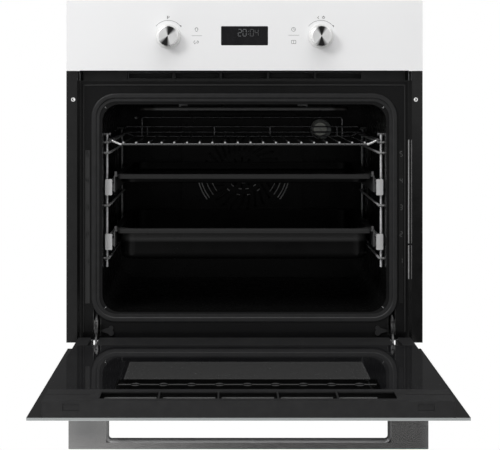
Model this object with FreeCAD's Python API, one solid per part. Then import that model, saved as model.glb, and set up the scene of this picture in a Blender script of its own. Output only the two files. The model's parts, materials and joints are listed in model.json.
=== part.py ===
import FreeCAD, Part
import math
import os

# Built-in electric wall oven, 595 mm front, drop-down door.  Millimetres, +Z up.
# X = 0 is the middle of the front, Y = 0 the face of the cabinet that the oven is pushed into,
# with the front towards -Y, and Z = 0 the underside of the body.  The door is drawn open.

V = FreeCAD.Vector
X_AXIS, Y_AXIS, Z_AXIS = V(1, 0, 0), V(0, 1, 0), V(0, 0, 1)
SIDES = (("left", -1), ("right", 1))

# Body behind the cabinet face
BODY_HALF = 278.0
BODY_DEPTH = 520.0
BODY_TOP = 560.0
SHEET = 1.2

# Front: side rails and control panel
FRONT_HALF = 297.5
RAIL_INNER = 279.7
RAIL_FRONT = -20.0
RAIL_TOP = 454.0
SCREW_X, SCREW_Z, SCREW_R = 286.0, 406.0, 2.1
BUSH_HEAD_R, BUSH_R = 4.2, 3.15
PANEL_HALF = 296.5
PANEL_LOW, PANEL_HIGH = 454.5, 571.0
PANEL_FRONT = -28.0
GLASS = 4.0

# Knobs and display
KNOB_X, KNOB_Z = 127.0, 511.5
CAP_R, SKIRT_R = 17.0, 20.5
KNOB_NOSE = -50.0
DISPLAY_HALF, DISPLAY_LOW, DISPLAY_HIGH = 39.0, 496.4, 528.2

# Sealing frame and cavity
FRAME_Y = 3.0
FRAME_HALF, FRAME_TOP = 276.0, 438.0
OUTLET_BACK, OUTLET_PITCH = 14.0, 79.5
MOUTH_HALF, MOUTH_LOW, MOUTH_HIGH, MOUTH_R = 239.5, 47.3, 397.7, 29.0
GASKET_HALF, GASKET_LOW, GASKET_HIGH, GASKET_R = 258.5, 30.4, 416.8, 42.0
GASKET_WIDE, GASKET_DEEP, LIP_WIDE, LIP_DEEP, CLIP_IN = 9.2, 4.0, 5.0, 1.6, 24.8
CAVITY_BACK = 420.0

# Shelf racks: one wire every 45 mm, telescopic runners between them
LEVEL_ONE, LEVEL_PITCH = 134.0, 45.0
RACK_WIRES = (LEVEL_ONE, LEVEL_ONE + 2 * LEVEL_PITCH, LEVEL_ONE + 4 * LEVEL_PITCH, 332.1)
RACK_X, RACK_UPRIGHT_X, WIRE_R = 231.4, 235.2, 2.0
RUNNERS = (("lower", 163.5, 183.3), ("upper", 256.5, 276.3))
RUNNER_FRONT, RUNNER_BACK = 31.0, 388.0
SLIDE_FRONT, SLIDE_WEB, CAP_IN, CAP_OUT = 17.0, 221.0, 224.6, 236.2

# Trays and shelf
RIM_HALF, RIM_DROP, TRAY_HALF, TRAY_SHEET = 223.0, 7.2, 212.5, 1.2
TRAY_FRONT, TRAY_BACK = 27.0, 388.0
DEEP_RIM, DEEP_BOTTOM = 184.7, 131.0
SHALLOW_RIM, SHALLOW_BOTTOM = 277.7, 262.0
SHELF_HALF, SHELF_Z, DECK_Z = 229.0, 336.8, 329.0
SHELF_DIP, STOP_Z, ARCH_Z = 211.0, 366.0, 348.5
DECK_WIRES, DECK_PITCH = 20, 21.66
SHELF_WIRE_R, DECK_WIRE_R = 2.0, 1.5

# Hot-air fan and lamp in the back wall
FAN_Z, FAN_R = 257.0, 72.0
COVER_HALF, COVER_FRONT = 118.0, 397.0
LAMP_X, LAMP_Z = 157.0, 341.0
ELEMENT_R = 3.25
PROBE_X, PROBE_Z, PROBE_R = -205.0, 366.0, 2.2

# Door, drawn open: its outer face points down
DOOR_TOP, DOOR_HEEL = -475.2, -0.4
OUTER_LOW, OUTER_HIGH = -17.7, -13.7
BOX_HALF, BOX_HEEL, BOX_HIGH = 277.0, -23.0, 9.0
PIVOT_Y, PIVOT_Z, PIN_R = -17.45, -6.95, 3.0
HINGE_X = 248.6
TRIM_BACK, TRIM_HALF = -406.0, 215.0
VENT_FRONT, VENT_BACK, VENT_PITCH = -462.0, -421.0, 81.0

# Handle under the open door's outer face
HANDLE_HALF, HANDLE_GAP_HALF, GAP_BEVEL = 241.6, 188.0, 3.4
HANDLE_LOW, BAR_HIGH = -57.5, -45.2
HANDLE_FRONT, HANDLE_BACK = -468.5, -457.0


def box(x0, x1, y0, y1, z0, z1):
    return Part.makeBox(abs(x1 - x0), abs(y1 - y0), abs(z1 - z0), V(min(x0, x1), min(y0, y1), min(z0, z1)))


def rod(radius, start, end):
    start, end = V(*start), V(*end)
    return Part.makeCylinder(radius, (end - start).Length, start, end - start)


def along_y(radius, x, z, y0, y1):
    return rod(radius, (x, y0, z), (x, y1, z))


def fuse(shapes):
    """One solid from overlapping or touching shapes."""
    shapes = list(shapes)
    return shapes[0].multiFuse(shapes[1:]).removeSplitter() if len(shapes) > 1 else shapes[0]


def rounded_face(u0, u1, v0, v1, radius, place):
    """A flat rectangle with round corners; place turns (u, v) into a point."""
    centres = ((u1 - radius, v0 + radius), (u1 - radius, v1 - radius),
               (u0 + radius, v1 - radius), (u0 + radius, v0 + radius))
    ends = []
    edges = []
    for quarter, (cu, cv) in enumerate(centres):
        angles = [math.radians(90 * quarter - 90 + part) for part in (0, 45, 90)]
        start, middle, end = [place(cu + radius * math.cos(a), cv + radius * math.sin(a)) for a in angles]
        ends.append((start, end))
        edges.append(Part.Arc(start, middle, end).toShape())
    for quarter in range(4):
        edges.append(Part.makeLine(ends[quarter][1], ends[(quarter + 1) % 4][0]))
    return Part.Face(Part.Wire(Part.__sortEdges__(edges)))


def upright_prism(x0, x1, z0, z1, radius, y0, y1):
    """A round-cornered rectangle in X and Z, drawn out along Y."""
    return rounded_face(x0, x1, z0, z1, radius, lambda u, v: V(u, y0, v)).extrude(V(0, y1 - y0, 0))


def flat_prism(x0, x1, y0, y1, radius, z0, z1):
    """A round-cornered rectangle in X and Y, drawn up along Z."""
    return rounded_face(x0, x1, y0, y1, radius, lambda u, v: V(u, v, z0)).extrude(V(0, 0, z1 - z0))


def bent_rod(points, radius, bend):
    """A round rod along straight runs joined by tangent arcs."""
    points = [V(*p) for p in points]
    start = points[0]
    edges = []
    for before, corner, after in zip(points, points[1:], points[2:]):
        back, ahead = (before - corner).normalize(), (after - corner).normalize()
        half = back.getAngle(ahead) / 2
        first, last = corner + back * (bend / math.tan(half)), corner + ahead * (bend / math.tan(half))
        middle = corner + (back + ahead).normalize() * (bend / math.sin(half) - bend)
        edges.append(Part.makeLine(start, first))
        edges.append(Part.Arc(first, middle, last).toShape())
        start = last
    edges.append(Part.makeLine(start, points[-1]))
    ring = Part.Wire(Part.makeCircle(radius, points[0], points[1] - points[0]))
    return Part.Wire(edges).makePipeShell([ring], True, True)


def plate_x(outline, x, thick):
    """A flat plate from an outline of (y, z) points, centred on x."""
    points = [V(x - thick / 2, y, z) for y, z in outline]
    return Part.Face(Part.makePolygon(points + points[:1])).extrude(V(thick, 0, 0))


# ---------------------------------------------------------------- body shell

def base_pan():
    floor = box(-BODY_HALF + SHEET, BODY_HALF - SHEET, 0, BODY_DEPTH - SHEET, 0, SHEET)
    flanges = [box(s * (BODY_HALF - 2 * SHEET), s * (BODY_HALF - SHEET), 6, BODY_DEPTH - SHEET, 0, 16)
               for _, s in SIDES]
    return fuse([floor] + flanges)


def side_panel(side):
    lower = box(side * (BODY_HALF - SHEET), side * BODY_HALF, FRAME_Y + SHEET, BODY_DEPTH, 0, BODY_TOP)
    ears = box(side * (BODY_HALF - SHEET), side * BODY_HALF, 0, FRAME_Y + SHEET, PANEL_LOW + 1, BODY_TOP)
    panel = fuse([lower, ears])
    slots = [box(side * (BODY_HALF - 5), side * (BODY_HALF + 5), y, y + 5, 455, 540)
             for y in range(330, 490, 14)]
    slots += [box(side * (BODY_HALF - 5), side * (BODY_HALF + 5), y, y + 34, 40, 46)
              for y in range(60, 460, 56)]
    return panel.cut(Part.makeCompound(slots))


GLAND_X, GLAND_Z, GLAND_R, CABLE_R = 205.0, 505.0, 9.0, 5.5


def rear_panel():
    wall = box(-BODY_HALF + SHEET, BODY_HALF - SHEET, BODY_DEPTH - SHEET, BODY_DEPTH, SHEET, BODY_TOP - SHEET)
    slots = [box(x, x + 5, BODY_DEPTH - 5, BODY_DEPTH + 5, z, z + 42)
             for z in (470, 300, 60) for x in range(-150, 151, 15)]
    hole = along_y(GLAND_R + 0.05, GLAND_X, GLAND_Z, BODY_DEPTH - 5, BODY_DEPTH + 5)
    return wall.cut(Part.makeCompound(slots + [hole]))


def top_cover():
    cover = box(-BODY_HALF + SHEET, BODY_HALF - SHEET, 0, BODY_DEPTH - SHEET, BODY_TOP - SHEET, BODY_TOP)
    slots = [box(x, x + 34, y, y + 4, BODY_TOP - 5, BODY_TOP + 5)
             for x in range(-220, 200, 52) for y in (380, 396, 412)]
    return cover.cut(Part.makeCompound(slots))


def side_rail(side):
    """A folded channel: the front face, both returns and the flange that lies on the cabinet."""
    def at(x0, x1, y0, y1, z0=0.0):
        return box(side * x0, side * x1, y0, y1, z0, RAIL_TOP)
    front = at(RAIL_INNER, FRONT_HALF, RAIL_FRONT, RAIL_FRONT + SHEET)
    inner = at(RAIL_INNER, RAIL_INNER + SHEET, RAIL_FRONT, FRAME_Y + SHEET)
    outer = at(FRONT_HALF - SHEET, FRONT_HALF, RAIL_FRONT, 0)
    flange = at(RAIL_INNER, FRONT_HALF, -SHEET, 0)
    joggle = box(side * FRAME_HALF, side * RAIL_INNER, FRAME_Y, FRAME_Y + SHEET, SHEET, FRAME_TOP)
    tie = box(side * BODY_HALF, side * RAIL_INNER, FRAME_Y, 16, 0, RAIL_TOP)
    rail = fuse([front, inner, outer, flange, joggle, tie])
    return rail.cut(along_y(BUSH_R + 0.05, side * SCREW_X, SCREW_Z, RAIL_FRONT - 5, 5))


def rail_bush(side):
    """A white flanged bush that lines the fixing-screw hole from the rail's face to its flange."""
    head = along_y(BUSH_HEAD_R, side * SCREW_X, SCREW_Z, RAIL_FRONT - 1.4, RAIL_FRONT)
    barrel = along_y(BUSH_R, side * SCREW_X, SCREW_Z, RAIL_FRONT, 0)
    return head.fuse(barrel).cut(along_y(SCREW_R, side * SCREW_X, SCREW_Z, RAIL_FRONT - 5, 5)).removeSplitter()


def front_frame():
    """The enamelled sealing frame round the mouth, with beads, level marks and hinge slots."""
    plate = box(-FRAME_HALF, FRAME_HALF, FRAME_Y, FRAME_Y + SHEET, SHEET, FRAME_TOP)
    hem = box(-FRAME_HALF, FRAME_HALF, FRAME_Y, FRAME_Y + 11, FRAME_TOP - SHEET, FRAME_TOP)
    top_bead = rod(1.6, (-FRAME_HALF + 5, FRAME_Y, FRAME_TOP - 8), (FRAME_HALF - 5, FRAME_Y, FRAME_TOP - 8))
    beads = [rod(1.6, (s * 271, FRAME_Y, 14), (s * 271, FRAME_Y, FRAME_TOP - 8)) for _, s in SIDES]
    strips = [box(s * 260.8, s * 268.4, FRAME_Y - 0.8, FRAME_Y, 62, 320) for _, s in SIDES]
    frame = fuse([plate, hem, top_bead] + beads + strips)
    cuts = [upright_prism(-MOUTH_HALF, MOUTH_HALF, MOUTH_LOW, MOUTH_HIGH, MOUTH_R, -10, 20)]
    for _, s in SIDES:
        cuts.append(box(s * (HINGE_X - 7), s * (HINGE_X + 7), -10, 20, 8, 52))
        for level in range(5):
            z = LEVEL_ONE + level * LEVEL_PITCH
            cuts.append(box(s * 262, s * 267.2, FRAME_Y - 3, FRAME_Y - 0.3, z - 1.2, z + 1.2))
    return frame.cut(Part.makeCompound(cuts))


def air_outlet():
    """The slotted black bar under the control panel, where the cooling air comes out."""
    bar = box(-271, 271, -0.9, OUTLET_BACK, FRAME_TOP, PANEL_LOW - 0.5)
    windows = [box(OUTLET_PITCH * (i - 2.5) + 2, OUTLET_PITCH * (i - 1.5) - 2, -5, 30,
                   FRAME_TOP + 3, PANEL_LOW - 3.5) for i in range(5)]
    return bar.cut(Part.makeCompound(windows))


# ---------------------------------------------------------------- cavity

def shell_y(half, low, high, radius, wall, y0, y1):
    outer = upright_prism(-half - wall, half + wall, low - wall, high + wall, radius + wall, y0, y1)
    return outer.cut(upright_prism(-half, half, low, high, radius, y0 - 1, y1 + 1))


def cavity_wrap():
    return shell_y(MOUTH_HALF + 0.5, MOUTH_LOW - 0.5, MOUTH_HIGH + 0.5, MOUTH_R, 1.0, FRAME_Y + SHEET, CAVITY_BACK)


def cavity_back_wall():
    half = MOUTH_HALF + 1.5
    wall = upright_prism(-half, half, MOUTH_LOW - 1.5, MOUTH_HIGH + 1.5, MOUTH_R, CAVITY_BACK, CAVITY_BACK + 1)
    holes = [along_y(8, 0, FAN_Z, 410, 430), along_y(22, LAMP_X, LAMP_Z, 410, 430)]
    holes += [along_y(ELEMENT_R + 0.4, x, GRILL_Z, 410, 430) for x in GRILL_LEGS]
    holes += [along_y(ELEMENT_R + 0.4, x, FAN_Z + 94, 410, 430) for x in (-12, 12)]
    holes.append(along_y(PROBE_R + 0.2, PROBE_X, PROBE_Z, 410, 430))
    return wall.cut(Part.makeCompound(holes))


def insulation():
    inner = upright_prism(-242, 242, 33, 401, 30, 0, 500)
    blanket = upright_prism(-266, 266, 18, 424, 44, 8, 446).cut(inner)
    quilt = upright_prism(-241.5, 241.5, 33.5, 400.5, 29.5, 424, 446)
    holes = [along_y(30, 0, FAN_Z, 400, 480), along_y(27, LAMP_X, LAMP_Z, 400, 480)]
    holes += [along_y(7, x, GRILL_Z, 400, 480) for x in GRILL_LEGS]
    holes += [along_y(7, x, FAN_Z + 94, 400, 480) for x in (-12, 12)]
    holes += [box(-70, -50, 400, 480, 30, 46), box(50, 70, 400, 480, 30, 46)]
    holes += [box(s * 65, s * 71, 400, 480, FAN_Z - 15, FAN_Z + 15) for _, s in SIDES]
    holes += [box(s * 241, s * 256.5, 0, 36, 5, 57) for _, s in SIDES]
    holes.append(along_y(3.5, PROBE_X, PROBE_Z, 400, 480))
    return fuse([blanket, quilt]).cut(Part.makeCompound(holes))


def door_gasket():
    """A silicone seal: a bulb with a rounded nose, and a thin lip on its inner side."""
    outer = upright_prism(-GASKET_HALF, GASKET_HALF, GASKET_LOW, GASKET_HIGH, GASKET_R,
                          FRAME_Y - GASKET_DEEP, FRAME_Y)
    inset = GASKET_WIDE
    inner = upright_prism(-GASKET_HALF + inset, GASKET_HALF - inset, GASKET_LOW + inset, GASKET_HIGH - inset,
                          GASKET_R - inset, FRAME_Y - 10, FRAME_Y + 10)
    ring = outer.cut(inner)
    nose = [e for e in ring.Edges if abs(e.BoundBox.YMin - (FRAME_Y - GASKET_DEEP)) < 0.01
            and e.BoundBox.YLength < 0.01]
    lip_out, lip_in = inset - 1, inset + LIP_WIDE
    lip = upright_prism(-GASKET_HALF + lip_out, GASKET_HALF - lip_out, GASKET_LOW + lip_out,
                        GASKET_HIGH - lip_out, GASKET_R - lip_out, FRAME_Y - LIP_DEEP, FRAME_Y)
    lip = lip.cut(upright_prism(-GASKET_HALF + lip_in, GASKET_HALF - lip_in, GASKET_LOW + lip_in,
                                GASKET_HIGH - lip_in, GASKET_R - lip_in, FRAME_Y - 10, FRAME_Y + 10))
    return fuse([ring.makeFillet(2.5, nose), lip])


def gasket_clips():
    """Four small wire hooks that hold the seal's corners."""
    clips = []
    for _, s in SIDES:
        for z, lift in ((GASKET_LOW + CLIP_IN, 1), (GASKET_HIGH - CLIP_IN, -1)):
            x = s * (GASKET_HALF - CLIP_IN)
            clips.append(bent_rod([(x + s * 1.4, 0.9, z - lift * 1.4), (x - s * 0.8, 0.9, z + lift * 0.8),
                                   (x - s * 0.8, FRAME_Y, z + lift * 0.8)], 0.7, 0.8))
    return clips


def rack(side):
    """One welded wire rack: four shelf wires with hooked ends, and two uprights."""
    wires = []
    for z in RACK_WIRES:
        wires.append(bent_rod([(side * 239.6, 34, z), (side * RACK_X, 34, z), (side * RACK_X, 386, z),
                               (side * 239.6, 386, z)], WIRE_R, 3.0))
    for y in (44, 376):
        wires.append(rod(WIRE_R, (side * RACK_UPRIGHT_X, y, 118), (side * RACK_UPRIGHT_X, y, 345)))
    return fuse(wires)


def rack_studs():
    """Four studs on the cavity walls that the racks hook on."""
    studs = []
    for _, s in SIDES:
        for y in (50, 370):
            studs.append(rod(3, (s * 240, y, 345.5), (s * 231, y, 345.5)).fuse(
                rod(4.5, (s * 231, y, 345.5), (s * 229.5, y, 345.5))))
    return studs


def fixed_rail(side, centre):
    """The rail on the rack: a C channel open to the inside, with two hooks onto the uprights."""
    def at(x0, x1, z0, z1, y0=RUNNER_FRONT, y1=RUNNER_BACK):
        return box(side * x0, side * x1, y0, y1, centre + z0, centre + z1)
    channel = [at(231.5, 233, -9, 9), at(224, 231.5, 7.5, 9), at(224, 231.5, -9, -7.5),
               at(224, 225.2, 4.6, 7.5), at(224, 225.2, -7.5, -4.6)]
    hooks = [at(233, 238.6, -3, 3, y + 2.6, y + 5.6) for y in (44, 376 - 8.2)]
    return fuse(channel + hooks)


def slide(side, centre, top):
    """The moving runner: a tongue in the rail, a web with a ledge for the tray, and a locating stud."""
    def at(x0, x1, z0, z1, y0, y1):
        return box(side * x0, side * x1, y0, y1, z0, z1)
    tongue = at(SLIDE_WEB, 230.6, centre - 4, centre + 4, 28, RUNNER_BACK - 6)
    web = at(SLIDE_WEB - 1.6, SLIDE_WEB, centre - 8, top, SLIDE_FRONT, RUNNER_BACK - 2)
    ledge = at(SLIDE_WEB - 5.6, SLIDE_WEB, top - 1.5, top, SLIDE_FRONT, RUNNER_BACK - 2)
    stud = rod(2.4, (side * (SLIDE_WEB - 2.6), SLIDE_FRONT + 3.4, top), (side * (SLIDE_WEB - 2.6), SLIDE_FRONT + 3.4, top + 7))
    return [tongue, fuse([web, ledge]), stud]


def runner_cap(side, centre):
    """The bright cap on the slide's front end."""
    body = box(side * CAP_IN, side * CAP_OUT, 20, 28, centre - 13.6, centre + 13.4)
    edges = [e for e in body.Edges if e.BoundBox.YLength > 7]
    neck = box(side * SLIDE_WEB, side * (CAP_IN + 2), 22, 28, centre - 6, centre + 6)
    return fuse([body.makeFillet(1.2, edges), neck])


def tray(rim, bottom, corner, shoulder):
    """A pressed tray: rounded floor, vertical walls, and a flat rim with a turned-down lip."""
    outer = flat_prism(-TRAY_HALF, TRAY_HALF, TRAY_FRONT + 12, TRAY_BACK - 12, corner, bottom, rim)
    floor_edges = [e for e in outer.Edges if e.BoundBox.ZMax < bottom + 0.01]
    outer = outer.makeFillet(shoulder, floor_edges)
    inner = flat_prism(-TRAY_HALF + TRAY_SHEET, TRAY_HALF - TRAY_SHEET, TRAY_FRONT + 12 + TRAY_SHEET,
                       TRAY_BACK - 12 - TRAY_SHEET, corner - TRAY_SHEET, bottom + TRAY_SHEET, rim + 5)
    inner_edges = [e for e in inner.Edges if e.BoundBox.ZMax < bottom + TRAY_SHEET + 0.01]
    inner = inner.makeFillet(shoulder - TRAY_SHEET, inner_edges)
    brim = flat_prism(-RIM_HALF, RIM_HALF, TRAY_FRONT, TRAY_BACK, 14, rim - RIM_DROP, rim)
    under = flat_prism(-RIM_HALF + TRAY_SHEET, RIM_HALF - TRAY_SHEET, TRAY_FRONT + TRAY_SHEET,
                       TRAY_BACK - TRAY_SHEET, 14 - TRAY_SHEET, rim - RIM_DROP - 5, rim - TRAY_SHEET)
    notches = [box(s * 214.8, s * 221.6, y, y + 22, rim - RIM_DROP - 5, rim - TRAY_SHEET)
               for _, s in SIDES for y in (TRAY_FRONT - 5, TRAY_BACK - 17)]
    return brim.cut(under).cut(Part.makeCompound(notches)).fuse(outer).cut(inner).removeSplitter()


def wire_shelf():
    """Side wires with a dipped front, deck wires, a dipped wire under their rear ends, and two raised stops."""
    back, rear_y, arch_y = 386, 372, 352
    deck_z = DECK_Z + SHELF_WIRE_R + DECK_WIRE_R - 0.6
    perimeter = bent_rod([(-SHELF_HALF, back, SHELF_Z), (-SHELF_HALF, 28, SHELF_Z), (-SHELF_DIP, 28, DECK_Z),
                          (SHELF_DIP, 28, DECK_Z), (SHELF_HALF, 28, SHELF_Z), (SHELF_HALF, back, SHELF_Z)],
                         SHELF_WIRE_R, 6.0)
    back_bar = rod(1.8, (-SHELF_HALF, back - 3, SHELF_Z), (SHELF_HALF, back - 3, SHELF_Z))
    rear = bent_rod([(-SHELF_HALF + 0.4, rear_y, SHELF_Z), (-SHELF_DIP, rear_y, DECK_Z),
                     (SHELF_DIP, rear_y, DECK_Z), (SHELF_HALF - 0.4, rear_y, SHELF_Z)], 1.8, 6.0)
    stop = bent_rod([(-196, rear_y, DECK_Z + 0.5), (-196, rear_y, STOP_Z), (196, rear_y, STOP_Z),
                     (196, rear_y, DECK_Z + 0.5)], 1.6, 5.0)
    arch = bent_rod([(-SHELF_HALF, arch_y - 22, SHELF_Z), (-SHELF_HALF + 2, arch_y, ARCH_Z),
                     (SHELF_HALF - 2, arch_y, ARCH_Z), (SHELF_HALF, arch_y - 22, SHELF_Z)], 1.6, 6.0)
    deck = []
    for i in range(DECK_WIRES):
        x = (i - (DECK_WIRES - 1) / 2) * DECK_PITCH
        deck.append(rod(DECK_WIRE_R, (x, 26.4, deck_z), (x, rear_y + 2, deck_z)))
    posts = [rod(1.2, (x * DECK_PITCH, arch_y, deck_z), (x * DECK_PITCH, arch_y, ARCH_Z))
             for x in (-8.5, -2.5, 2.5, 8.5)]
    return fuse([perimeter, back_bar, rear, stop, arch] + deck + posts)


# ---------------------------------------------------------------- heating and air

GRILL_Z, GRILL_FRONT = 389.0, 60.0
GRILL_LEGS = (-40.0, 40.0)


def grill_element():
    """One rod under the roof: a long front bar, a loop back on each side, and both ends through the wall."""
    half = [(0, GRILL_FRONT), (178, GRILL_FRONT), (178, 330), (110, 330), (110, 120), (40, 120), (40, 436)]
    points = [(-x, y, GRILL_Z) for x, y in half[:0:-1]] + [(x, y, GRILL_Z) for x, y in half[1:]]
    return bent_rod(points, ELEMENT_R, 14.0)


def element_hangers():
    """Clips that hang the grill rods from the roof."""
    hangers = []
    for x in (-110, 110):
        for y in (170, 280):
            plate = box(x - 6, x + 6, y - 0.8, y + 0.8, GRILL_Z - 5, MOUTH_HIGH + 0.5)
            foot = box(x - 6, x + 6, y - 8, y + 8, MOUTH_HIGH - 1, MOUTH_HIGH + 0.5)
            hangers.append(fuse([plate, foot]).cut(along_y(ELEMENT_R + 0.2, x, GRILL_Z, y - 5, y + 5)))
    return hangers


def bottom_element():
    z = 40.0
    points = [(-60, 470, z), (-60, 380, z), (-170, 380, z), (-170, 80, z), (170, 80, z), (170, 380, z),
              (60, 380, z), (60, 470, z)]
    return bent_rod(points, ELEMENT_R, 20.0)


def ring_heater():
    """The rod round the hot-air fan: one turn and two ends through the wall."""
    ring = Part.makeTorus(94, ELEMENT_R, V(0, 408, FAN_Z), Y_AXIS)
    gap = box(-6, 6, 400, 416, FAN_Z + 80, FAN_Z + 110)
    ends = [bent_rod([(s * 6.0, 408, FAN_Z + 93.8), (s * 12, 408, FAN_Z + 93.8), (s * 12, 436, FAN_Z + 94)],
                     ELEMENT_R, 4.0) for s in (-1, 1)]
    return fuse([ring.cut(gap)] + ends)


def fan_cover():
    """A stamped box over the fan with slanted inlet slots in a ring and outlet slots in its sides."""
    low, high = FAN_Z - COVER_HALF, FAN_Z + COVER_HALF
    outer = upright_prism(-COVER_HALF, COVER_HALF, low, high, 24, COVER_FRONT, CAVITY_BACK)
    inner = upright_prism(-COVER_HALF + 1, COVER_HALF - 1, low + 1, high - 1, 23, COVER_FRONT + 1, CAVITY_BACK + 5)
    cover = outer.cut(inner)
    cuts = []
    for i in range(28):
        slot = box(-2.4, 2.4, COVER_FRONT - 5, COVER_FRONT + 5, 42, 76)
        slot.rotate(V(0, 0, 59), Y_AXIS, 22)
        slot.rotate(V(0, 0, 0), Y_AXIS, i * 360 / 28)
        slot.translate(V(0, 0, FAN_Z))
        cuts.append(slot)
    for i in range(12):
        slot = box(-2, 2, COVER_FRONT - 5, COVER_FRONT + 5, 14, 30)
        slot.rotate(V(0, 0, 0), Y_AXIS, i * 30)
        slot.translate(V(0, 0, FAN_Z))
        cuts.append(slot)
    for _, s in SIDES:
        for z in range(-80, 81, 20):
            cuts.append(box(s * (COVER_HALF - 5), s * (COVER_HALF + 5), COVER_FRONT + 5, CAVITY_BACK - 6,
                            FAN_Z + z - 7, FAN_Z + z + 7))
    return cover.cut(Part.makeCompound(cuts))


COVER_SCREWS = [(x, FAN_Z + z) for x in (-98, 98) for z in (-98, 98)]


def fan_cover_screws():
    return [along_y(4, x, z, COVER_FRONT - 2, COVER_FRONT) for x, z in COVER_SCREWS]


def convection_fan():
    """A pressed fan: a back disc, bent blades and a hub."""
    disc = along_y(FAN_R, 0, FAN_Z, 414.6, 415.6)
    hub = along_y(10, 0, FAN_Z, 407, 414.6)
    blades = []
    for i in range(10):
        blade = box(-0.6, 0.6, 402, 414.6, 26, FAN_R - 1)
        blade.rotate(V(0, 0, 48), Y_AXIS, 18)
        blade.rotate(V(0, 0, 0), Y_AXIS, i * 36)
        blade.translate(V(0, 0, FAN_Z))
        blades.append(blade)
    return fuse([disc, hub] + blades).cut(along_y(4.02, 0, FAN_Z, 400, 420))


def fan_shaft():
    return along_y(4, 0, FAN_Z, 402, 474)


def fan_nut():
    nut = Part.Face(Part.makePolygon([V(7.5 * math.cos(math.radians(60 * i)), 402.8,
                                        FAN_Z + 7.5 * math.sin(math.radians(60 * i))) for i in range(7)]))
    return nut.extrude(V(0, 4.2, 0)).cut(along_y(4.02, 0, FAN_Z, 400, 420))


def fan_motor():
    can = along_y(34, 0, FAN_Z, 450, 488)
    nose = along_y(12, 0, FAN_Z, 426, 450)
    bracket = box(-70, 70, 448, 450, FAN_Z - 14, FAN_Z + 14)
    feet = [box(s * 66, s * 70, 421, 450, FAN_Z - 14, FAN_Z + 14) for _, s in SIDES]
    return fuse([can, nose, bracket] + feet).cut(along_y(4.05, 0, FAN_Z, 420, 476))


def lamp_housing():
    cup = along_y(21.5, LAMP_X, LAMP_Z, 421, 462)
    flange = along_y(26, LAMP_X, LAMP_Z, 421, 422.5)
    ring = along_y(24, LAMP_X, LAMP_Z, 418, 420).cut(along_y(20.2, LAMP_X, LAMP_Z, 410, 430))
    hollow = along_y(20.2, LAMP_X, LAMP_Z, 410, 456)
    throat = along_y(21.5, LAMP_X, LAMP_Z, 420, 421)
    return fuse([cup, flange, throat, ring]).cut(hollow)


def lamp_lens():
    """A ribbed glass cover screwed into the housing."""
    dome = Part.makeSphere(26, V(LAMP_X, 426, LAMP_Z)).common(along_y(19.8, LAMP_X, LAMP_Z, 398, 418))
    skirt = along_y(19.8, LAMP_X, LAMP_Z, 414, 436)
    hollow = along_y(17.4, LAMP_X, LAMP_Z, 409, 440)
    return fuse([dome, skirt]).cut(hollow)


def lamp_bulb():
    bulb = Part.makeSphere(11, V(LAMP_X, 428, LAMP_Z))
    base = along_y(7, LAMP_X, LAMP_Z, 434, 456)
    return bulb.fuse(base).removeSplitter()


BLOWER_Y, BLOWER_Z, BLOWER_R = 352.0, 492.0, 30.0
BLOWER_HALF = 110.0


def blower_housing():
    """A scroll box open to the back above and to the duct in front below."""
    outer = box(-BLOWER_HALF - 6, BLOWER_HALF + 6, 300, 410, 444, 532)
    inner = box(-BLOWER_HALF - 5, BLOWER_HALF + 5, 301, 409, 445, 531)
    outlet = box(-BLOWER_HALF - 5, BLOWER_HALF + 5, 290, 305, 445, 462)
    inlet = box(-BLOWER_HALF + 4, BLOWER_HALF - 4, 400, 415, 480, 526)
    bores = rod(4.2, (-BLOWER_HALF - 10, BLOWER_Y, BLOWER_Z), (BLOWER_HALF + 10, BLOWER_Y, BLOWER_Z))
    return outer.cut(Part.makeCompound([inner, outlet, inlet, bores]))


def blower_wheel():
    """A crossflow wheel: end discs, a middle disc and a ring of blades on one shaft."""
    discs = [rod(BLOWER_R, (x, BLOWER_Y, BLOWER_Z), (x + 1.5, BLOWER_Y, BLOWER_Z))
             for x in (-BLOWER_HALF, -0.75, BLOWER_HALF - 1.5)]
    blades = []
    for i in range(18):
        blade = box(-BLOWER_HALF, BLOWER_HALF, BLOWER_Y - 0.5, BLOWER_Y + 0.5,
                    BLOWER_Z + BLOWER_R - 8, BLOWER_Z + BLOWER_R - 0.6)
        blade.rotate(V(0, BLOWER_Y, BLOWER_Z), X_AXIS, i * 20)
        blades.append(blade)
    shaft = rod(3, (-BLOWER_HALF - 12, BLOWER_Y, BLOWER_Z), (BLOWER_HALF + 40, BLOWER_Y, BLOWER_Z))
    return fuse(discs + blades + [shaft])


def blower_motor():
    can = rod(26, (BLOWER_HALF + 14, BLOWER_Y, BLOWER_Z), (BLOWER_HALF + 44, BLOWER_Y, BLOWER_Z))
    foot = box(BLOWER_HALF + 12, BLOWER_HALF + 14, BLOWER_Y - 34, BLOWER_Y + 34, 458, 526)
    tie = box(BLOWER_HALF + 6, BLOWER_HALF + 12, BLOWER_Y - 34, BLOWER_Y - 28, 458, 526)
    bore = rod(3.05, (BLOWER_HALF, BLOWER_Y, BLOWER_Z), (BLOWER_HALF + 41, BLOWER_Y, BLOWER_Z))
    return fuse([can, foot, tie]).cut(bore)


def air_duct():
    """The flat duct that carries the cooling air forward to the outlet under the panel."""
    outer = box(-242, 242, OUTLET_BACK, 300, FRAME_TOP + 1, 457)
    inner = box(-241, 241, OUTLET_BACK - 5, 310, FRAME_TOP + 2, 456)
    return outer.cut(inner)


def control_board():
    board = box(-230, -90, 60, 190, 470, 471.6)
    parts = [box(-222, -196, 70, 100, 471.6, 488), box(-186, -158, 72, 104, 471.6, 492),
             box(-150, -128, 72, 96, 471.6, 486), box(-120, -98, 70, 92, 471.6, 480),
             box(-215, -150, 130, 160, 471.6, 478)]
    legs = [rod(3, (x, y, 458), (x, y, 470)) for x in (-222, -98) for y in (68, 182)]
    return fuse([board] + parts + legs)


def board_tray():
    return box(-236, -84, 54, 196, 457, 458)


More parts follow.
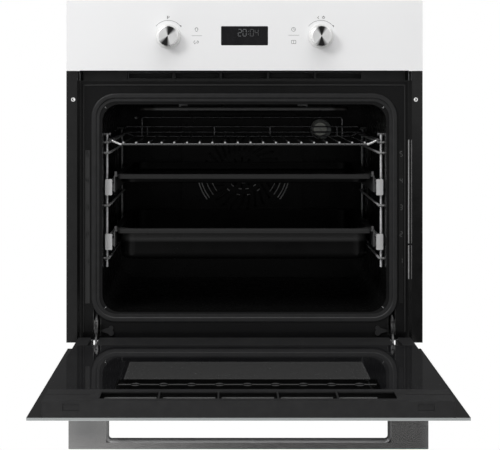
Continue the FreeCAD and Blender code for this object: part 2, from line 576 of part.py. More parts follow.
def terminal_block():
    block = box(178, 232, 486, 512, 492, 518)
    wells = [along_y(3, 184 + 8.4 * i, 505, 480, 496) for i in range(6)]
    base = box(172, 238, 512, BODY_DEPTH - SHEET, 486, 524)
    return fuse([block, base]).cut(Part.makeCompound(wells))


def cable_gland():
    nut = along_y(13, GLAND_X, GLAND_Z, BODY_DEPTH, BODY_DEPTH + 10)
    neck = along_y(GLAND_R, GLAND_X, GLAND_Z, BODY_DEPTH - SHEET, BODY_DEPTH)
    return nut.fuse(neck).cut(along_y(CABLE_R, GLAND_X, GLAND_Z, 500, 540)).removeSplitter()


def temperature_probe():
    """A thin sensor rod in the cavity's upper left corner, held by a clip on the back wall."""
    rod_part = along_y(PROBE_R, PROBE_X, PROBE_Z, 330, 436)
    flange = along_y(7, PROBE_X, PROBE_Z, 418.5, CAVITY_BACK)
    return fuse([rod_part, flange])


# ---------------------------------------------------------------- control panel

def panel_glass():
    glass = upright_prism(-PANEL_HALF, PANEL_HALF, PANEL_LOW, PANEL_HIGH, 1.5, PANEL_FRONT, PANEL_FRONT + GLASS)
    window = upright_prism(-DISPLAY_HALF - 0.1, DISPLAY_HALF + 0.1, DISPLAY_LOW - 0.1, DISPLAY_HIGH + 0.1, 1.6,
                           -40, 0)
    holes = [along_y(6, s * KNOB_X, KNOB_Z, -40, 0) for _, s in SIDES]
    return glass.cut(Part.makeCompound([window] + holes))


def display_window():
    return upright_prism(-DISPLAY_HALF, DISPLAY_HALF, DISPLAY_LOW, DISPLAY_HIGH, 1.5, PANEL_FRONT,
                         PANEL_FRONT + GLASS)


def panel_carrier():
    """The steel tray behind the panel glass that holds the electronics."""
    back = PANEL_FRONT + GLASS
    outer = box(-PANEL_HALF + 1.5, PANEL_HALF - 1.5, back, 0, PANEL_LOW + 1, PANEL_HIGH - 1)
    inner = box(-PANEL_HALF + 3, PANEL_HALF - 3, back - 5, -1.5, PANEL_LOW + 2.5, PANEL_HIGH - 2.5)
    holes = [box(-60, 60, -5, 5, 470, 492)]
    return outer.cut(inner).cut(Part.makeCompound(holes))


def display_module():
    case = box(-DISPLAY_HALF + 2, DISPLAY_HALF - 2, -23.9, -12, DISPLAY_LOW + 2, DISPLAY_HIGH - 2)
    pins = [rod(0.7, (x, -9, DISPLAY_LOW + 6), (x, -12, DISPLAY_LOW + 6)) for x in range(-30, 31, 6)]
    return fuse([case] + pins)


def touch_board():
    """The board behind the panel with the touch sensors, the display and both encoders on it."""
    board = box(-165, 165, -9, -7.4, 470, 552)
    pads = [along_y(6.5, s * 81, z, -23.9, -9) for _, s in SIDES for z in (501, 523)]
    holes = [along_y(3.4, s * KNOB_X, KNOB_Z, -12, 0) for _, s in SIDES]
    spacers = [along_y(3, x, z, -7.4, -1.5) for x in (-158, 158) for z in (478, 546)]
    return fuse([board] + pads + spacers).cut(Part.makeCompound(holes))


def encoder(side):
    x = side * KNOB_X
    case = box(x - 7.5, x + 7.5, -19, -9, KNOB_Z - 7.5, KNOB_Z + 7.5)
    neck = along_y(4.6, x, KNOB_Z, -25.5, -19)
    return fuse([case, neck]).cut(along_y(3.05, x, KNOB_Z, -30, -5))


def knob_shaft(side):
    return along_y(3, side * KNOB_X, KNOB_Z, KNOB_NOSE + 4, -11)


def knob_cap(side):
    """The spun metal cap: slightly tapered, with a rounded edge and a pointer groove."""
    x = side * KNOB_X
    cone = Part.makeCone(CAP_R, CAP_R - 0.8, 18.8, V(x, -31.2, KNOB_Z), V(0, -1, 0))
    nose = [e for e in cone.Edges if e.BoundBox.YMax < KNOB_NOSE + 0.1]
    cap = cone.makeFillet(1.6, nose)
    groove = box(x - 0.8, x + 0.8, KNOB_NOSE - 1, KNOB_NOSE + 0.8, KNOB_Z + 6, KNOB_Z + CAP_R + 1)
    return cap.cut(Part.makeCompound([groove, along_y(3.02, x, KNOB_Z, KNOB_NOSE + 4, -20)]))


def knob_skirt(side):
    x = side * KNOB_X
    disc = Part.makeCone(SKIRT_R, SKIRT_R - 0.6, 2.8, V(x, -28.4, KNOB_Z), V(0, -1, 0))
    return disc.cut(along_y(3.02, x, KNOB_Z, -40, -20))


# ---------------------------------------------------------------- door

def outer_glass():
    pane = flat_prism(-FRONT_HALF, FRONT_HALF, DOOR_TOP, DOOR_HEEL, 0.8, OUTER_LOW, OUTER_HIGH)
    holes = [rod(3.2, (x, y, -30), (x, y, 0)) for x in HANDLE_SCREW_X for y in HANDLE_SCREW_Y]
    return pane.cut(Part.makeCompound(holes))


HANDLE_SCREW_X = (-209.0, 209.0)
HANDLE_SCREW_Y = (-462.6,)


def middle_glass():
    return flat_prism(-241, 241, -402, -96, 6.0, -5.0, -1.0)


def inner_glass():
    return flat_prism(-BOX_HALF, BOX_HALF, TRIM_BACK + 0.4, -90.0, 3.0, BOX_HIGH - GLASS, BOX_HIGH)


def side_channel(side):
    """The folded side of the door: a C channel that carries the panes."""
    def at(x0, x1, z0, z1):
        return box(side * x0, side * x1, TRIM_BACK + 0.2, BOX_HEEL, z0, z1)
    top = BOX_HIGH - GLASS
    channel = fuse([at(BOX_HALF - 1.2, BOX_HALF, OUTER_HIGH, top), at(256, BOX_HALF, OUTER_HIGH, OUTER_HIGH + 1.2),
                    at(256, BOX_HALF, top - 1.2, top), at(256, 257.2, OUTER_HIGH, top)])
    ledges = [box(side * 238, side * 256, -400, -222, -6.4, -5.0)]
    heel = box(side * 256, side * BOX_HALF, -90, BOX_HEEL, top, BOX_HIGH)
    return fuse([channel, heel] + ledges)


def heel_rail():
    """The rail along the door's hinged edge, between the hinges, with its air inlet slots."""
    outer = box(-241.5, 241.5, -89.6, BOX_HEEL, OUTER_HIGH, BOX_HIGH)
    inner = box(-240.3, 240.3, -89, BOX_HEEL - 1.2, OUTER_HIGH + 1.2, BOX_HIGH - 1.2)
    slots = [box(x, x + 40, BOX_HEEL - 5, BOX_HEEL + 5, -8, -3) for x in range(-225, 200, 51)]
    back = box(-235, 235, -95, -85, -10, 5.5)
    return outer.cut(Part.makeCompound([inner, back] + slots))


def top_trim():
    """The trim across the door's free edge, with a row of air outlet slots in its inner face."""
    high = BOX_HIGH
    outer = box(-TRIM_HALF, TRIM_HALF, DOOR_TOP + 0.4, TRIM_BACK, OUTER_HIGH, high)
    inner = box(-TRIM_HALF - 1, TRIM_HALF + 1, DOOR_TOP + 2.4, TRIM_BACK - 2, OUTER_HIGH - 1, high - 2)
    slots = [box(VENT_PITCH * (i - 2.5) + 1.2, VENT_PITCH * (i - 1.5) - 1.2, VENT_FRONT, VENT_BACK, high - 5, high + 5)
             for i in range(5)]
    floor = box(-TRIM_HALF, TRIM_HALF, DOOR_TOP + 2.4, TRIM_BACK - 2, OUTER_HIGH, OUTER_HIGH + 1.6)
    screw_holes = [rod(4.5, (x, y, -14), (x, y, -5)) for x in HANDLE_SCREW_X for y in HANDLE_SCREW_Y]
    return fuse([outer.cut(Part.makeCompound([inner] + slots)), floor]).cut(Part.makeCompound(screw_holes))


def trim_cap(side):
    high = BOX_HIGH
    body = box(side * TRIM_HALF, side * BOX_HALF, DOOR_TOP + 0.4, TRIM_BACK, OUTER_HIGH, high)
    hollow = box(side * (TRIM_HALF - 1), side * (BOX_HALF - 2), DOOR_TOP + 2.4, TRIM_BACK - 2, OUTER_HIGH + 1.6,
                 high - 2)
    recess = box(side * 227, side * 249, DOOR_TOP, DOOR_TOP + 1.6, -4.6, 4.6)
    step = box(side * TRIM_HALF, side * BOX_HALF, DOOR_TOP, DOOR_TOP + 38, high - 0.5, high + 5)
    return body.cut(Part.makeCompound([hollow, recess, step]))


def glass_spacers():
    """Rubber blocks that keep the panes apart."""
    return [box(x - 8, x + 8, y - 3, y + 3, -1.0, BOX_HIGH - GLASS)
            for x in (-230, 0, 230) for y in (-392, -106)]


def handle():
    """A brushed steel bar with two broad feet, bevelled round the finger opening."""
    outer = upright_prism(-HANDLE_HALF, HANDLE_HALF, HANDLE_LOW, OUTER_LOW, 1.0, HANDLE_FRONT, HANDLE_BACK)
    mouth = upright_prism(-HANDLE_GAP_HALF, HANDLE_GAP_HALF, BAR_HIGH, OUTER_LOW + 20, 4.0,
                          HANDLE_FRONT - 5, HANDLE_BACK + 5)
    shape = outer.cut(mouth)
    rim = [e for e in shape.Edges if e.BoundBox.YMax < HANDLE_FRONT + 0.01
           and abs(e.BoundBox.Center.x) < HANDLE_GAP_HALF + 1 and e.BoundBox.Center.z > BAR_HIGH - 1]
    bores = [rod(2.52, (x, y, -34), (x, y, -10)) for x in HANDLE_SCREW_X for y in HANDLE_SCREW_Y]
    return shape.makeChamfer(GAP_BEVEL, rim).cut(Part.makeCompound(bores))


def handle_screws():
    screws = []
    for x in HANDLE_SCREW_X:
        for y in HANDLE_SCREW_Y:
            shank = rod(2.5, (x, y, -32), (x, y, -11.4))
            head = rod(4.2, (x, y, -13.4), (x, y, -9.4))
            screws.append(shank.fuse(head).removeSplitter())
    return screws


# ---------------------------------------------------------------- hinges

def hinge_case(side):
    """The door's half of the hinge: a channel open towards the oven, drilled for the pivot pin."""
    def at(x0, x1, y0, y1, z0, z1):
        return box(side * x0, side * x1, y0, y1, z0, z1)
    inner, outer = HINGE_X - 5.6, HINGE_X + 5.6
    low = OUTER_HIGH + 0.2
    parts = [at(inner, outer, -215, -12.2, low, low + 1.0), at(inner, inner + 1.2, -215, -12.2, low, 4.6),
             at(outer - 1.2, outer, -215, -12.2, low, 4.6)]
    roof = at(inner, outer, -215, -92, 3.4, 4.6)
    bore = rod(PIN_R + 0.02, (side * (inner - 3), PIVOT_Y, PIVOT_Z), (side * (outer + 3), PIVOT_Y, PIVOT_Z))
    return fuse(parts + [roof]).cut(bore)


def hinge_pin(side):
    return rod(PIN_R, (side * (HINGE_X - 6.4), PIVOT_Y, PIVOT_Z), (side * (HINGE_X + 6.4), PIVOT_Y, PIVOT_Z))


def hinge_arm(side):
    """The oven's half of the hinge: a flat arm from the pivot, through the frame, into its socket."""
    outline = [(-21.4, -4.6), (-17.4, 1.0), (-11.0, 20.0), (-6.0, 39.0), (1.0, 43.0), (30.0, 43.0), (30.0, 14.0),
               (2.0, 11.0), (-9.0, -8.6), (-14.2, -10.6)]
    arm = plate_x(outline, side * HINGE_X, 3.0)
    boss = rod(4.9, (side * (HINGE_X - 1.5), PIVOT_Y, PIVOT_Z), (side * (HINGE_X + 1.5), PIVOT_Y, PIVOT_Z))
    cuts = [rod(PIN_R + 0.05, (side * 240, PIVOT_Y, PIVOT_Z), (side * 260, PIVOT_Y, PIVOT_Z)),
            rod(LATCH_PIN_R + 0.05, (side * 240, LATCH_Y, LATCH_Z), (side * 260, LATCH_Y, LATCH_Z))]
    return fuse([arm, boss]).cut(Part.makeCompound(cuts))


def hinge_socket(side):
    """The folded socket behind the frame that the arm hooks into."""
    x = side * HINGE_X
    walls = [box(x - 6.8, x - 5.6, FRAME_Y + SHEET, 34, 8, 54), box(x + 5.6, x + 6.8, FRAME_Y + SHEET, 34, 8, 54)]
    back = box(x - 6.8, x + 6.8, 32.8, 34, 8, 54)
    shelf = box(x - 6.8, x + 6.8, 10, 34, 8, 9.2)
    bar = rod(2, (x - 6, 22, 11.8), (x + 6, 22, 11.8))
    return fuse(walls + [back, shelf, bar])


LATCH_Y, LATCH_Z, LATCH_PIN_R = -7.2, 33.0, 1.5


def hinge_latch(side):
    """The flip clip that locks the hinge for taking the door off: a stirrup round the arm."""
    x = side * HINGE_X
    outline = [(-13.6, 22.0), (-9.5, 36.0), (-4.4, 37.0), (-3.0, 30.0), (-8.6, 14.0), (-14.4, 14.0)]
    cheeks = [plate_x(outline, x - 2.4, 1.0), plate_x(outline, x + 2.4, 1.0)]
    bridge = box(x - 2.9, x + 2.9, -14.4, -13.2, 14.0, 22.0)
    pin = rod(LATCH_PIN_R, (x - 2.9, LATCH_Y, LATCH_Z), (x + 2.9, LATCH_Y, LATCH_Z))
    return fuse(cheeks + [bridge, pin])


def hinge_spring(side):
    """The closing spring inside the hinge case, drawn as its outer sleeve."""
    spring = rod(4.0, (side * HINGE_X, -190, -4.6), (side * HINGE_X, -80, -4.6))
    return spring.cut(rod(2.6, (side * HINGE_X, -200, -4.6), (side * HINGE_X, -70, -4.6)))


def door_buffer(side):
    """A two-lobed rubber stop with a tapered lug, beside the hinge."""
    x = side * 224.6
    lobes = [along_y(4.6, x, 12.6, -0.9, FRAME_Y), along_y(4.0, x, 20.4, -0.9, FRAME_Y)]
    lug = Part.Face(Part.makePolygon([V(x, -0.2, 10), V(x + side * 16, -0.2, 14.6), V(x + side * 16, -0.2, 17.4),
                                      V(x, -0.2, 22), V(x, -0.2, 10)])).extrude(V(0, FRAME_Y + 0.2, 0))
    return fuse(lobes + [lug])


# ---------------------------------------------------------------- write every node

def both(make):
    """The left and the right one of a piece, as two solids."""
    return [make(side) for _, side in SIDES]


nodes = {
    "base_pan": base_pan(),
    "side_panels": both(side_panel),
    "rear_panel": rear_panel(),
    "top_cover": top_cover(),
    "side_rails": both(side_rail),
    "rail_bushes": both(rail_bush),
    "front_frame": front_frame(),
    "air_outlet": air_outlet(),
    "cavity_wrap": cavity_wrap(),
    "cavity_back_wall": cavity_back_wall(),
    "insulation": insulation(),
    "door_gasket": door_gasket(),
    "cavity_fittings": gasket_clips() + rack_studs() + fan_cover_screws() + element_hangers() + [temperature_probe()],
    "side_racks": both(rack),
    "fixed_rails": [fixed_rail(side, centre) for _, side in SIDES for _, centre, _ in RUNNERS],
    "deep_tray": tray(DEEP_RIM, DEEP_BOTTOM, 26, 12),
    "shallow_tray": tray(SHALLOW_RIM, SHALLOW_BOTTOM, 26, 5),
    "wire_shelf": wire_shelf(),
    "grill_element": grill_element(),
    "bottom_element": bottom_element(),
    "ring_heater": ring_heater(),
    "fan_cover": fan_cover(),
    "convection_fan": convection_fan(),
    "fan_shaft": [fan_shaft(), fan_nut()],
    "fan_motors": [fan_motor(), blower_motor()],
    "lamp_housing": lamp_housing(),
    "lamp_lens": lamp_lens(),
    "lamp_bulb": lamp_bulb(),
    "blower_housing": blower_housing(),
    "blower_wheel": blower_wheel(),
    "air_duct": air_duct(),
    "control_board": [control_board(), board_tray()],
    "mains_inlet": [terminal_block(), cable_gland()],
    "control_panel_glass": panel_glass(),
    "display_window": display_window(),
    "panel_carrier": panel_carrier(),
    "panel_electronics": [display_module(), touch_board()] + both(encoder),
    "door_outer_glass": outer_glass(),
    "door_middle_glass": middle_glass(),
    "door_inner_glass": inner_glass(),
    "door_side_channels": both(side_channel),
    "door_heel_rail": heel_rail(),
    "door_top_trim": top_trim(),
    "door_trim_caps": both(trim_cap),
    "glass_spacers": glass_spacers(),
    "door_handle": handle(),
    "door_hardware": handle_screws() + both(hinge_pin) + both(hinge_spring),
    "hinge_cases": both(hinge_case),
    "hinge_arms": both(hinge_arm) + both(hinge_socket),
    "door_buffers": both(door_buffer),
}
for name, side in SIDES:
    nodes["hinge_latch_" + name] = hinge_latch(side)
    for level, centre, top in RUNNERS:
        nodes[level + "_slide_" + name] = slide(side, centre, top) + [runner_cap(side, centre)]
for knob, side in (("function", -1), ("temperature", 1)):
    nodes[knob + "_knob_cap"] = [knob_cap(side), knob_shaft(side)]
    nodes[knob + "_knob_skirt"] = knob_skirt(side)

os.makedirs("parts", exist_ok=True)
for name, shape in nodes.items():
    solids = shape if isinstance(shape, list) else [shape]
    shape = solids[0] if len(solids) == 1 else Part.makeCompound(solids)
    assert shape.isValid(), name
    print(name, len(shape.Solids), round(shape.Volume / 1000, 1))
    shape.exportStep("parts/" + name + ".step")
print(len(nodes), "nodes")
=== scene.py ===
import json
import math

import bmesh
import bpy
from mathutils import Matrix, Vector


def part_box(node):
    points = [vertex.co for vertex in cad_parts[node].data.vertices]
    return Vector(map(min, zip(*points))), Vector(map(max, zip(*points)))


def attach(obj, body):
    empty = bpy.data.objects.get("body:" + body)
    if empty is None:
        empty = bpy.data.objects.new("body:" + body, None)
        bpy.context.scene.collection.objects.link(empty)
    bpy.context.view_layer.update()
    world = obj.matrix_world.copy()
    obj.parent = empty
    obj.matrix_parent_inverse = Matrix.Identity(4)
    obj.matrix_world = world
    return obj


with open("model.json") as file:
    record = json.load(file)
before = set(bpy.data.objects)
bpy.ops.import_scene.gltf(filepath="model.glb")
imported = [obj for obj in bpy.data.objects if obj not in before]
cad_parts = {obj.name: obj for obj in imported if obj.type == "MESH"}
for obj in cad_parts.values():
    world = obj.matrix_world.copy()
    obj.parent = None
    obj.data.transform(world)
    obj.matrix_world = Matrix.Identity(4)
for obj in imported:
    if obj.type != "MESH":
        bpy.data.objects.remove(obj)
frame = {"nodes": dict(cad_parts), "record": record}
NODES = frame["nodes"]
SLOT_OF = {p["node"]: p["material_slot"] for p in frame["record"]["subparts"]}
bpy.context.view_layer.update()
MM = 0.001
KNOB_X, KNOB_Z = 127.0, 511.5

# ---------------------------------------------------------------- camera, stage and light

FRONT_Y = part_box("side_rails")[0].y
DISTANCE = 2.285
FOCAL_LENGTH = 98.5
SHIFT = (0.0436, -0.2868)
EYE_X, EYE_Z = -0.0272, 0.436
camera_data = bpy.data.cameras.new("camera")
camera_data.sensor_width = 36
camera_data.lens = FOCAL_LENGTH
camera_data.shift_x, camera_data.shift_y = SHIFT
camera = bpy.data.objects.new("camera", camera_data)
camera.location = (EYE_X, FRONT_Y - DISTANCE, EYE_Z)
camera.rotation_euler = (math.radians(90), 0, 0)
bpy.context.scene.collection.objects.link(camera)
bpy.context.scene.camera = camera
bpy.context.scene.view_settings.view_transform = "Standard"


def link(tree, out, into):
    tree.links.new(out, into)


def grey(level):
    """A neutral colour of the level given."""
    return (level, level, level)


def ramp(tree, source, low, high, top):
    """0 below low, top above high, smooth between."""
    node = tree.nodes.new("ShaderNodeMapRange")
    node.interpolation_type = "SMOOTHSTEP"
    for name, value in (("From Min", low), ("From Max", high), ("To Min", 0.0), ("To Max", top)):
        node.inputs[name].default_value = value
    link(tree, source, node.inputs["Value"])
    return node.outputs["Result"]


def combine(tree, kind, first, second):
    """A Math node of the kind given; each input is a socket or a number."""
    node = tree.nodes.new("ShaderNodeMath")
    node.operation = kind
    for place, value in zip(node.inputs, (first, second)):
        if isinstance(value, (int, float)):
            place.default_value = value
        else:
            link(tree, value, place)
    return node.outputs[0]


LEFT_SCREEN, RIGHT_SCREEN, ROOF, SIDES, EVERYWHERE = 0.62, 0.55, 0.7, 0.4, 0.05
SCREEN_SLANT = 0.9


def world_light():
    """White for the camera; light and reflections come from pale screens, a roof and two sides."""
    world = bpy.data.worlds.new("studio")
    bpy.context.scene.world = world
    world.use_nodes = True
    tree = world.node_tree
    tree.nodes.clear()
    output = tree.nodes.new("ShaderNodeOutputWorld")
    mix = tree.nodes.new("ShaderNodeMixShader")
    path = tree.nodes.new("ShaderNodeLightPath")
    shown = tree.nodes.new("ShaderNodeBackground")
    shown.inputs["Color"].default_value = (1, 1, 1, 1)
    studio = tree.nodes.new("ShaderNodeBackground")
    coords = tree.nodes.new("ShaderNodeTexCoord")
    split = tree.nodes.new("ShaderNodeSeparateXYZ")
    link(tree, coords.outputs["Generated"], split.inputs[0])
    x, y, z = (split.outputs[axis] for axis in "XYZ")
    front = ramp(tree, combine(tree, "MULTIPLY", y, -1.0), 0.0, 0.3, 1.0)
    left = ramp(tree, combine(tree, "MULTIPLY", x, -1.0), 0.03, 0.16, LEFT_SCREEN)
    slant = combine(tree, "MULTIPLY", z, SCREEN_SLANT)
    right = ramp(tree, combine(tree, "ADD", x, slant), 0.086, 0.1, RIGHT_SCREEN)
    screens = combine(tree, "MULTIPLY", combine(tree, "ADD", left, right), front)
    roof = ramp(tree, z, 0.35, 0.8, ROOF)
    beside = ramp(tree, combine(tree, "ABSOLUTE", x, 0.0), 0.45, 0.8, SIDES)
    around = combine(tree, "ADD", roof, beside)
    total = combine(tree, "ADD", combine(tree, "ADD", screens, around), EVERYWHERE)
    link(tree, total, studio.inputs["Strength"])
    link(tree, path.outputs["Is Camera Ray"], mix.inputs["Fac"])
    link(tree, studio.outputs[0], mix.inputs[1])
    link(tree, shown.outputs[0], mix.inputs[2])
    link(tree, mix.outputs[0], output.inputs["Surface"])


def area_light(name, place, aim, size, power, size_y=None):
    """A rectangular light turned to the point aim; square unless size_y is given."""
    data = bpy.data.lights.new(name, "AREA")
    data.energy = power
    data.shape = "RECTANGLE"
    data.size = size
    data.size_y = size_y or size
    light = bpy.data.objects.new(name, data)
    light.location = place
    light.rotation_euler = (Vector(aim) - Vector(place)).to_track_quat("-Z", "Y").to_euler()
    bpy.context.scene.collection.objects.link(light)


world_light()
area_light("key_left", (-1.7, -2.0, 1.9), (0, -0.1, 0.4), 0.9, 34)
area_light("softbox_top", (0.2, -0.6, 2.4), (0, -0.1, 0.3), 1.6, 16, 1.2)


def mesh_object(name, build):
    """An object from a bmesh, linked to the scene."""
    mesh = bpy.data.meshes.new(name)
    build.to_mesh(mesh)
    build.free()
    obj = bpy.data.objects.new(name, mesh)
    bpy.context.scene.collection.objects.link(obj)
    return obj


FLOOR_Z, FLOOR_HALF_WIDTH = -0.75, 1.6
FLOOR_GREY = 0.9


def floor():
    """A plain pale floor, some way below the oven."""
    build = bmesh.new()
    bmesh.ops.create_grid(build, x_segments=1, y_segments=1, size=FLOOR_HALF_WIDTH)
    obj = mesh_object("floor", build)
    obj.location = (0, 0, FLOOR_Z)
    mat = bpy.data.materials.new("floor")
    mat.use_nodes = True
    shader = mat.node_tree.nodes["Principled BSDF"]
    shader.inputs["Base Color"].default_value = (*grey(FLOOR_GREY), 1)
    shader.inputs["Roughness"].default_value = 0.9
    obj.data.materials.append(mat)


floor()

# ---------------------------------------------------------------- materials


class Finish:
    """A material under construction: a Principled shader patterned in its object's coordinates, in metres."""

    def __init__(self, name, colour, roughness, metallic=0.0, **more):
        self.mat = bpy.data.materials.new(name)
        self.mat.use_nodes = True
        self.tree = self.mat.node_tree
        self.shader = self.tree.nodes["Principled BSDF"]
        self.set("Base Color", (*colour, 1))
        self.set("Roughness", roughness)
        self.set("Metallic", metallic)
        for key, value in more.items():
            self.set(key.replace("_", " "), value)
        self.coords = self.tree.nodes.new("ShaderNodeTexCoord").outputs["Object"]

    def set(self, name, value):
        self.shader.inputs[name].default_value = value

    def node(self, kind, **inputs):
        node = self.tree.nodes.new(kind)
        for key, value in inputs.items():
            node.inputs[key.replace("_", " ")].default_value = value
        return node

    def stretched(self, scale):
        """The object's coordinates in metres, stretched by a factor along each axis."""
        mapping = self.node("ShaderNodeMapping")
        mapping.inputs["Scale"].default_value = scale
        link(self.tree, self.coords, mapping.inputs["Vector"])
        return mapping.outputs["Vector"]

    def noise(self, scale=(1, 1, 1), size=100.0, detail=3.0):
        noise = self.node("ShaderNodeTexNoise", Scale=size, Detail=detail, Roughness=0.5)
        link(self.tree, self.stretched(scale), noise.inputs["Vector"])
        return noise.outputs["Fac"]

    def cells(self, size):
        """A random colour for each cell of a pattern of irregular cells."""
        cells = self.node("ShaderNodeTexVoronoi", Scale=size)
        link(self.tree, self.stretched((1, 1, 1)), cells.inputs["Vector"])
        return cells.outputs["Color"]

    def spread(self, source, low, high, start=0.0, end=1.0):
        """Turns start to end of the source into low to high, and holds them beyond."""
        spread = self.node("ShaderNodeMapRange")
        spread.inputs["From Min"].default_value = start
        spread.inputs["From Max"].default_value = end
        spread.inputs["To Min"].default_value = low
        spread.inputs["To Max"].default_value = high
        link(self.tree, source, spread.inputs["Value"])
        return spread.outputs["Result"]

    def axis(self, name):
        """One of the object's coordinates, in metres."""
        split = self.tree.nodes.new("ShaderNodeSeparateXYZ")
        link(self.tree, self.coords, split.inputs[0])
        return split.outputs[name]

    def distance(self, name, middle):
        """How far a point is from a plane across the axis given."""
        away = combine(self.tree, "SUBTRACT", self.axis(name), middle)
        return combine(self.tree, "ABSOLUTE", away, 0.0)

    def inside(self, name, low, high, soft=0.0001):
        """1 between two planes across the axis given, 0 outside them."""
        away = self.distance(name, (low + high) / 2)
        return self.spread(away, 1, 0, (high - low) / 2 - soft, (high - low) / 2 + soft)

    def both(self, first, second):
        """1 where two masks are both 1; it also multiplies two values."""
        return combine(self.tree, "MULTIPLY", first, second)

    def paint(self, mask, colour):
        """Lays a flat colour over the present one where the mask is 1."""
        target = self.shader.inputs["Base Color"]
        mix = self.tree.nodes.new("ShaderNodeMix")
        mix.data_type = "RGBA"
        if target.is_linked:
            link(self.tree, target.links[0].from_socket, mix.inputs["A"])
        else:
            mix.inputs["A"].default_value = target.default_value
        mix.inputs["B"].default_value = (*colour, 1)
        link(self.tree, mask, mix.inputs["Factor"])
        link(self.tree, mix.outputs["Result"], target)
        return self

    def vary_roughness(self, source, low, high):
        """Spreads the roughness between low and high by a pattern."""
        link(self.tree, self.spread(source, low, high), self.shader.inputs["Roughness"])
        return self

    def vary_colour(self, source, dark, light, start=0.3, end=0.7):
        """Mixes two colours by a pattern, in place of the colour given at the start."""
        mix = self.tree.nodes.new("ShaderNodeMix")
        mix.data_type = "RGBA"
        mix.inputs["A"].default_value = (*dark, 1)
        mix.inputs["B"].default_value = (*light, 1)
        link(self.tree, self.spread(source, 0, 1, start, end), mix.inputs["Factor"])
        link(self.tree, mix.outputs["Result"], self.shader.inputs["Base Color"])
        return self

    def bump(self, source, strength, depth):
        bump = self.node("ShaderNodeBump", Strength=strength, Distance=depth)
        link(self.tree, source, bump.inputs["Height"])
        link(self.tree, bump.outputs["Normal"], self.shader.inputs["Normal"])
        return self


def black_enamel():
    """The front frame's satin enamel, with paler level strips, the left one painted lighter as a painted
    highlight, and painted highlights on its beads and upper hem.
    """
    f = Finish("black_enamel", (0.004, 0.004, 0.0042), 0.2, Specular_IOR_Level=0.3)
    f.vary_roughness(f.noise(size=40), 0.18, 0.28)
    f.vary_colour(f.noise(size=900, detail=2), (0.0035, 0.0035, 0.0037), (0.0055, 0.0055, 0.0057))
    # The level strips are paler than the frame; the left one is painted lighter still, a painted highlight.
    for strip_left, strip_right, level in ((-0.2686, -0.2606, 0.04), (0.2606, 0.2686, 0.01)):
        strip = f.both(f.inside("X", strip_left, strip_right), f.inside("Y", 0.0, 0.0028))
        f.paint(strip, grey(level))
    # Painted highlights on the top bead, the side beads and the upper hem.
    proud = f.inside("Y", -0.001, 0.0027)
    f.paint(f.both(proud, f.inside("Z", 0.4296, 0.4318)), grey(0.04))
    for bead in (-0.271, 0.271):
        f.paint(f.both(proud, f.inside("X", bead - 0.0008, bead + 0.0008)), grey(0.03))
    hem = f.both(f.inside("Y", 0.0, 0.004), f.inside("Z", 0.4366, 0.439))
    f.paint(hem, grey(0.035))
    return f.bump(f.noise(size=260, detail=2), 0.06, 0.0003).mat


def cavity_enamel():
    """Deep black easy-clean enamel on the cavity's walls."""
    f = Finish("cavity_enamel", grey(0.002), 0.25, Specular_IOR_Level=0.22)
    f.vary_roughness(f.noise(size=30), 0.2, 0.34)
    f.vary_colour(f.noise(size=700, detail=2), grey(0.0025), grey(0.005))
    return f.bump(f.noise(size=260, detail=2), 0.08, 0.0003).mat


def tray_enamel():
    """Black enamel, with painted highlights on the trays' front rims and at the top of the deep tray's front
    wall, painted shade lower on that wall and painted light on the deep tray's base.
    """
    f = Finish("tray_enamel", grey(0.0025), 0.25, Specular_IOR_Level=0.15)
    f.vary_colour(f.noise(size=700, detail=2), grey(0.002), grey(0.004))
    front = f.inside("Y", 0.02, 0.06)
    # Painted highlights on the trays' front rims.
    for rim, level in ((0.1847, 0.03), (0.2777, 0.023)):
        f.paint(f.both(front, f.inside("Z", rim - 0.0074, rim + 0.001)), grey(level))
    wall_top = 0.1772
    # The deep tray's front wall: painted shade on its lower part, a painted highlight at its top.
    f.paint(f.both(front, f.inside("Z", 0.152, wall_top, 0.006)), grey(0.002))
    f.paint(f.both(front, f.inside("Z", 0.164, wall_top, 0.003)), grey(0.04))
    # Painted light on the deep tray's base.
    f.paint(f.inside("Z", 0.13, 0.1315), grey(0.05))
    f.vary_roughness(f.noise(size=30), 0.22, 0.36)
    return f.bump(f.noise(size=260, detail=2), 0.08, 0.0003).mat


def rail_paint():
    """Gloss powder paint on the side rails."""
    f = Finish("rail_paint", grey(0.006), 0.12)
    f.vary_roughness(f.noise(size=80), 0.08, 0.16)
    f.vary_colour(f.noise(size=60), grey(0.005), grey(0.008))
    return f.bump(f.noise(size=1800, detail=2), 0.05, 0.0002).mat


def black_paint():
    """Satin powder paint on the door's folded steel."""
    f = Finish("black_paint", grey(0.014), 0.35)
    f.vary_roughness(f.noise(size=120), 0.28, 0.42)
    f.vary_colour(f.noise(size=60), (0.011, 0.011, 0.012), grey(0.018))
    return f.bump(f.noise(size=1800, detail=2), 0.15, 0.0002).mat


def galvanised():
    """Spangled zinc on the body's sheets, with painted shade inside the air duct's mouth."""
    f = Finish("galvanised", (0.45, 0.46, 0.47), 0.42, 0.7)
    f.vary_colour(f.cells(90), (0.36, 0.37, 0.38), (0.52, 0.53, 0.54), 0.1, 0.9)
    # Painted shade inside the air duct's mouth.
    mouth = f.both(f.inside("Y", 0.0, 0.3), f.inside("Z", 0.436, 0.466))
    f.paint(f.both(mouth, f.inside("X", -0.273, 0.273)), grey(0.006))
    f.vary_roughness(f.cells(90), 0.32, 0.52)
    return f.bump(f.noise(size=500), 0.08, 0.0003).mat


